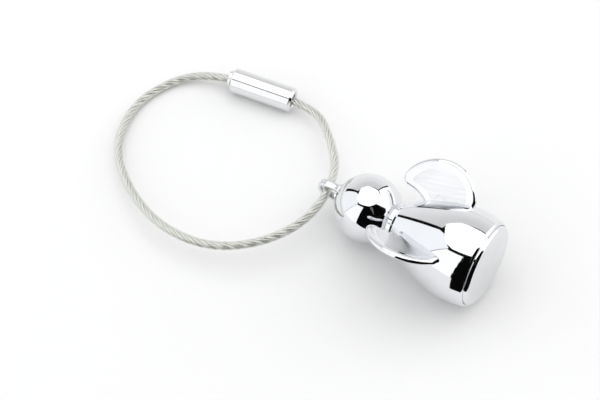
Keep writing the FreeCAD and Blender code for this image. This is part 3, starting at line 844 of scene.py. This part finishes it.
def stud_grid():
    """Stud with a plain collar, a right-hand thread and a blind hole for the cable."""
    s = ring_sizes()
    radius, hole = s.stud / MM, s.cable / 2 / MM
    collar = rounded([
        (STUD_SEAT, 0, 0), (STUD_SEAT, hole, 0.05), (STUD_BACK, hole, 0.08),
        (STUD_BACK, radius - 0.2, 0.12), (STUD_BACK + 0.2, radius, 0.12), (-0.05, radius, 0),
    ])
    shank = np.linspace((-0.05, radius), (STUD_END - 0.2, radius), 130)[1:] * MM
    nose = rounded([(STUD_END - 0.2, radius, 0), (STUD_END, radius - 0.3, 0.1), (STUD_END, 0, 0)])

    def carve(along, turn, r):
        outside = r > (radius - 0.25) * MM
        ends = eased(along, 0.1 * MM, 0.6 * MM) * (1 - 0.35 * eased(along, 3.2 * MM, 3.6 * MM))
        root = s.thread * (1 - thread_wave(along, turn))
        return r - np.where(outside, root * ends, 0)

    return lathe(np.vstack([braced(collar), shank, nose[1:]]), 128, carve)


def ferrule_grid():
    """Crimped end cap of the cable: four dents pressed round its middle."""
    start, end = FERRULE_SPAN
    radius, seat, hole = FERRULE_RADIUS, FERRULE_SEAT, ring_sizes().cable / 2 / MM
    middle = [(along, radius, 0) for along in (10.0, 11.0, 12.0)]
    outline = braced(rounded([
        (start, 0, 0), (start, radius - 0.25, 0.12), (start + 0.25, radius, 0.12), *middle,
        (end - 0.25, radius, 0.12), (end, radius - 0.25, 0.12), (end, hole, 0.05),
        (seat, hole, 0.05), (seat, 0, 0),
    ]), 0.12 * MM)

    def carve(along, turn, r):
        window = eased(along, 9.8 * MM, 10.4 * MM) * (1 - eased(along, 11.4 * MM, 12.0 * MM))
        dent = np.maximum(np.cos(4 * turn), 0) ** 2
        return r - np.where(r > 1.6 * MM, 0.14 * MM * window * dent, 0)

    return lathe(outline, 96, carve)


def washer_grid():
    """Thin washer with broken edges."""
    (start, end), (hole, radius) = WASHER_SPAN, WASHER_RADII
    return lathe(braced(rounded([
        (start, hole, 0.05), (start, radius, 0.12), (end, radius, 0.12), (end, hole, 0.05),
    ], closed=True)), 96)


def route_curve(name):
    """Open quadratic NURBS curve over the cable's route."""
    curve = bpy.data.curves.new(name, "CURVE")
    curve.dimensions = "3D"
    spline = curve.splines.new("NURBS")
    spline.points.add(len(CABLE_ROUTE) - 1)
    spline.points.foreach_set("co", np.insert(CABLE_ROUTE, 3, 1.0, axis=1).ravel())
    spline.order_u = 3
    spline.use_endpoint_u = True
    spline.resolution_u = 24
    return linked(name, curve)


def centreline(cable, spacing):
    """Evenly spaced points of a curve that has no bevel yet."""
    bpy.context.view_layer.update()
    mesh = bpy.data.meshes.new_from_object(cable)
    points = np.zeros(len(mesh.vertices) * 3)
    mesh.vertices.foreach_get("co", points)
    bpy.data.meshes.remove(mesh)
    points = points.reshape(-1, 3)
    run = np.append(0, np.cumsum(np.linalg.norm(np.diff(points, axis=0), axis=1)))
    even = np.linspace(0, run[-1], int(run[-1] / spacing) + 1)
    return np.stack([np.interp(even, run, points[:, k]) for k in range(3)], axis=1), even


def strand_grid(points, run, radius, reach, start):
    """One strand: a thin tube whose middle winds round the rope at a reach from its middle.

    Middle = point + reach (n cos f + b sin f), with f = start + 2 pi run / lay, n the upright
    direction square to the rope and b square to both."""
    along = unit(np.gradient(points, axis=0))
    upright = np.array([0.0, 0.0, 1.0])
    n = unit(upright - along * (along @ upright)[:, None])
    b = np.cross(along, n)
    f = (start + 2 * math.pi * run / ring_sizes().lay)[:, None]
    outwards = n * np.cos(f) + b * np.sin(f)
    middle = points + reach * outwards
    direction = unit(np.gradient(middle, axis=0))
    side = unit(outwards - direction * (outwards * direction).sum(axis=1, keepdims=True))
    return capped(tube(middle, side, np.cross(direction, side), radius, radius, 2.0, 12))


# ------------------------------------------------------------------ studio


VIEW_AZIMUTH, VIEW_ELEVATION = math.radians(33.38), math.radians(60.2)
VIEW_DISTANCE = 0.322  # metres from the target
VIEW_TARGET = Vector((-0.0240, -0.0027, 0.0))
VIEW_LENS = 89.28  # millimetres
WHITE, COOL = (1, 1, 1), (0.965, 0.98, 1.0)
DARK = 0.003  # radiance of the room's dark parts
CEILING, SIDE = 0.90, 0.80  # metres from the charm to the soft lights
WHITE_BOXES = (
    # name, corners and middle as (azimuth, elevation) in degrees, distance, radiance, tint;
    # without a middle of its own, a light's middle is the mean of its corners
    (
        "box_left",
        ((-187, -2), (-137, -2), (-131, 52.5), (-150, 54.5), (-180, 51), (-186, 44)),
        None, SIDE, 1.16, COOL,
    ),
    (
        "box_front_left",
        ((-136.2, -2), (-94, -2), (-94, 58.5), (-110, 55.5), (-125, 51), (-130.3, 50)),
        None, SIDE, 1.24, WHITE,
    ),
    (
        "box_right",
        ((17, -2), (83, -2), (83, 44), (62, 50), (33, 56), (2, 63), (9, 50), (14, 30)),
        None, SIDE, 1.40, WHITE,
    ),
    ("box_front", ((-53, 63), (-33, 63), (-37, 37)), None, SIDE, 0.16, WHITE),
    (
        "box_overhead",
        ((-180, 52), (-150, 53), (-127, 57), (-110, 62.5), (-94, 65.5), (-57, 67), (-15, 66.5),
         (3, 64), (33, 54), (62, 51), (84, 47), (115, 45), (125, 42.5), (150, 42.5), (158, 46),
         (172, 51)),
        (0, 90), CEILING, 1.62, WHITE,
    ),
)


def heading(azimuth, elevation):
    """Unit vector of an azimuth from +X towards +Y and an elevation, in degrees."""
    a, e = math.radians(azimuth), math.radians(elevation)
    return Vector((math.cos(a) * math.cos(e), math.sin(a) * math.cos(e), math.sin(e)))


def glow(name, radiance, tint):
    """Material that gives plain light of one radiance."""
    material = bpy.data.materials.new(name)
    material.use_nodes = True
    tree = material.node_tree
    tree.nodes.clear()
    lamp = node(tree, "ShaderNodeEmission", {"Color": (*tint, 1), "Strength": radiance})
    out = node(tree, "ShaderNodeOutputMaterial")
    tree.links.new(lamp.outputs[0], out.inputs["Surface"])
    return material


def white_box(name, corners, middle, distance, radiance, tint):
    """Soft light with the given corners as seen from the charm: a fan about its middle."""
    spots = [heading(*corner) * distance for corner in corners]
    count = len(spots)
    hub = heading(*middle) * distance if middle else sum(spots, Vector()) / count
    faces = [(count, k, (k + 1) % count) for k in range(count)]
    mesh = bpy.data.meshes.new(name)
    mesh.from_pydata([*spots, hub], [], faces)
    box = linked(name, mesh)
    mesh.materials.append(glow(name, radiance, tint))
    box.visible_camera = False
    box.visible_shadow = False


def studio_world():
    """Room: a grey cove behind the table, and darkness all round the soft lights.

    The cove spans 40 degrees each way from azimuth 126, up to elevation 43, and fades from
    0.96 at the table to 0.74.  Matt surfaces get an even fill of 0.6 from the darkness, and
    the camera sees a plain pale backdrop."""
    world = bpy.data.worlds.new("studio")
    bpy.context.scene.world = world
    world.use_nodes = True
    tree = world.node_tree
    direction = node(tree, "ShaderNodeTexCoord").outputs["Generated"]
    height = node(tree, "ShaderNodeSeparateXYZ", {0: direction}).outputs[2]
    level = node(tree, "ShaderNodeVectorMath", {0: direction, 1: (1, 1, 0)}, operation="MULTIPLY")
    level = node(tree, "ShaderNodeVectorMath", {0: level.outputs[0]}, operation="NORMALIZE")
    far = {0: level.outputs[0], 1: heading(126, 0)}
    dot = node(tree, "ShaderNodeVectorMath", far, operation="DOT_PRODUCT")
    behind = spread(tree, dot.outputs["Value"], 0.755, 0.775, 0.0, 1.0)
    fade = spread(tree, height, 0.0, 0.68, 0.96, 0.74)
    top = spread(tree, height, 0.685, 0.695, 1.0, 0.0)
    cove = maths(tree, "MULTIPLY", maths(tree, "MULTIPLY", fade, top), behind)
    room = maths(tree, "MAXIMUM", cove, DARK)
    path = node(tree, "ShaderNodeLightPath").outputs
    filled = node(tree, "ShaderNodeMix", {"Factor": path["Is Diffuse Ray"], "A": room, "B": 0.6})
    seen = {"Factor": path["Is Camera Ray"], "A": filled.outputs[0], "B": 0.94}
    seen = node(tree, "ShaderNodeMix", seen)
    background = tree.nodes["Background"]
    background.inputs["Color"].default_value = (1, 1, 1, 1)
    tree.links.new(seen.outputs[0], background.inputs["Strength"])


def dark_reflection_board():
    """Dark board on the table in front of the charm, which only reflections show: it paints a dark
    reflection.

    It is the part of a ring between 22.5 mm and 3.9 m about a spot under the gown."""
    turns = (-94, -75, -57, -38, -20, 0, 15)
    rings = [(turn, 0.0225) for turn in turns] + [(turn, 3.9) for turn in reversed(turns)]
    corners = [Vector((0.017, -0.009, 0.3 * MM)) + heading(a, 0) * reach for a, reach in rings]
    mesh = bpy.data.meshes.new("dark_reflection_board")
    last = len(corners) - 1
    faces = [(k, k + 1, last - k - 1, last - k) for k in range(len(turns) - 1)]
    mesh.from_pydata(corners, [], faces)
    board = linked("dark_reflection_board", mesh)
    mesh.materials.append(glow("dark_reflection_board", DARK, WHITE))
    # Painted dark reflection: the camera, matt surfaces and shadows do not see the board.
    board.visible_camera = board.visible_diffuse = board.visible_shadow = False
    board.visible_transmission = False


def place_camera():
    """Long lens that looks steeply down, from between the left wing and the base."""
    back = Vector((
        math.sin(VIEW_AZIMUTH) * math.cos(VIEW_ELEVATION),
        -math.cos(VIEW_AZIMUTH) * math.cos(VIEW_ELEVATION),
        math.sin(VIEW_ELEVATION),
    ))
    camera = linked("camera", bpy.data.cameras.new("camera"))
    camera.location = VIEW_TARGET + back * VIEW_DISTANCE
    camera.rotation_euler = back.to_track_quat("Z", "Y").to_euler()
    camera.data.lens = VIEW_LENS
    camera.data.clip_start = 0.01
    bpy.context.scene.camera = camera


def table_plane(half):
    mesh = bpy.data.meshes.new("table")
    corners = [(-half, -half, 0), (half, -half, 0), (half, half, 0), (-half, half, 0)]
    mesh.from_pydata(corners, [], [(0, 1, 2, 3)])
    table = linked("table", mesh)
    mesh.materials.append(table_top())


# ------------------------------------------------------------------ operators


class CHARM_OT_figure(bpy.types.Operator):
    """Gown, ball, base disc and dowel: bodies of revolution about the charm's axis"""

    bl_idname = "charm.figure"
    bl_label = "Build the figure"

    def execute(self, context):
        place, chrome = charm_axes(), charm_chrome()
        turned = (
            ("gown", gown_outline(), "gown_shell", "charm_chrome", chrome),
            ("ball_head", ball_outline(), "head", "charm_chrome", chrome),
            ("base_plate", disc_outline(), "base_disc", "charm_chrome", chrome),
            ("dowel", dowel_outline(), "neck_dowel", "hidden_steel", hidden_steel()),
        )
        for name, line, cad_node, slot, material in turned:
            piece = skin(name, lathe(line, CHARM_COLUMNS), place)
            finish_piece(piece, "charm", slot, material, cad_node)
        return {"FINISHED"}


class CHARM_OT_eyelet(bpy.types.Operator):
    """Eyelet that grows out of the ball and holds the ring"""

    bl_idname = "charm.eyelet"
    bl_label = "Build the eyelet"

    def execute(self, context):
        piece = skin("eyelet", eyelet_grid(), charm_axes())
        finish_piece(piece, "charm", "charm_chrome", charm_chrome(), "head_eyelet")
        return {"FINISHED"}


class CHARM_OT_wings(bpy.types.Operator):
    """Two dished wings with beaded edges"""

    bl_idname = "charm.wings"
    bl_label = "Build the wings"

    def execute(self, context):
        chrome = wing_chrome()
        for name, side in (("wing_left", -1), ("wing_right", 1)):
            piece = skin(name + "_leaf", wing_grid(side), charm_axes())
            finish_piece(piece, "charm", "charm_chrome", chrome, name)
        return {"FINISHED"}


class CHARM_OT_connector(bpy.types.Operator):
    """Screw barrel, threaded stud, crimped ferrule and slip washer"""

    bl_idname = "charm.connector"
    bl_label = "Build the connector"

    def execute(self, context):
        place, chrome, steel = ring_axes(), connector_chrome(), hidden_steel()
        pieces = (
            ("barrel", barrel_grid(), True, "barrel", "connector_chrome", chrome, "screw_barrel"),
            ("stud", stud_grid(), False, "ring", "connector_chrome", chrome, "threaded_stud"),
            ("ferrule", ferrule_grid(), False, "ring", "hidden_steel", steel, "stop_ferrule"),
            ("washer", washer_grid(), True, "slip", "hidden_steel", steel, "slip_washer"),
        )
        for name, grid, closed, body, slot, material, cad_node in pieces:
            piece = skin(name, grid, place, closed)
            finish_piece(piece, body, slot, material, cad_node)
        return {"FINISHED"}


class CHARM_OT_cable(bpy.types.Operator):
    """Coated cable on one smooth curve, with the strands of its wire rope inside"""

    bl_idname = "charm.cable"
    bl_label = "Build the cable"

    def execute(self, context):
        s = ring_sizes()
        cable = route_curve("cable_coat")
        points, run = centreline(cable, 0.25 * MM)
        thin = s.rope / 6  # radius of a strand: three of them lie side by side across the rope
        places = [(0.0, 0.0)] + [(2 * thin, 2 * math.pi * k / s.strands) for k in range(s.strands)]
        strands = [
            skin("strand_%d" % k, strand_grid(points, run, thin, reach, start))
            for k, (reach, start) in enumerate(places)
        ]
        rope = joined("wire_strands", strands)
        finish_piece(rope, "ring", "wire_rope", wire_rope(), "cable_core")
        cable.data.bevel_depth = s.cable / 2
        cable.data.bevel_resolution = 8
        cable.data.use_fill_caps = True
        finish_piece(cable, "ring", "clear_coat", plastic_coat(), "cable_jacket")
        return {"FINISHED"}


def joined(name, parts):
    """One object from several."""
    with bpy.context.temp_override(
        active_object=parts[0], object=parts[0], selected_objects=parts,
        selected_editable_objects=parts,
    ):
        bpy.ops.object.join()
    parts[0].name = parts[0].data.name = name
    return parts[0]


class CHARM_OT_studio(bpy.types.Operator):
    """Table, soft lights, room and camera"""

    bl_idname = "charm.studio"
    bl_label = "Build the studio"

    def execute(self, context):
        for box in WHITE_BOXES:
            white_box(*box)
        studio_world()
        table_plane(4.0)
        dark_reflection_board()
        place_camera()
        context.scene.view_settings.view_transform = "Standard"
        return {"FINISHED"}


class CHARM_PT_panel(bpy.types.Panel):
    """Lists the steps in the order in which they are run"""

    bl_idname = "CHARM_PT_panel"
    bl_label = "Key Charm"
    bl_space_type = "VIEW_3D"
    bl_region_type = "UI"
    bl_category = "Key Charm"

    def draw(self, context):
        for operator in OPERATORS:
            self.layout.operator(operator.bl_idname)


OPERATORS = (
    CHARM_OT_figure, CHARM_OT_eyelet, CHARM_OT_wings, CHARM_OT_connector, CHARM_OT_cable,
    CHARM_OT_studio,
)
GROUPS = (
    ("charm_sizes", CharmSizes), ("charm_ring_sizes", RingSizes), ("charm_finishes", Finishes),
)


def register():
    for name, group in GROUPS:
        bpy.utils.register_class(group)
        setattr(bpy.types.Scene, name, PointerProperty(type=group))
    for operator in OPERATORS:
        bpy.utils.register_class(operator)
    bpy.utils.register_class(CHARM_PT_panel)


def unregister():
    bpy.utils.unregister_class(CHARM_PT_panel)
    for operator in reversed(OPERATORS):
        bpy.utils.unregister_class(operator)
    for name, group in reversed(GROUPS):
        delattr(bpy.types.Scene, name)
        bpy.utils.unregister_class(group)


def main():
    register()
    for step in ("figure", "eyelet", "wings", "connector", "cable", "studio"):
        getattr(bpy.ops.charm, step)()


if __name__ == "__main__":
    main()
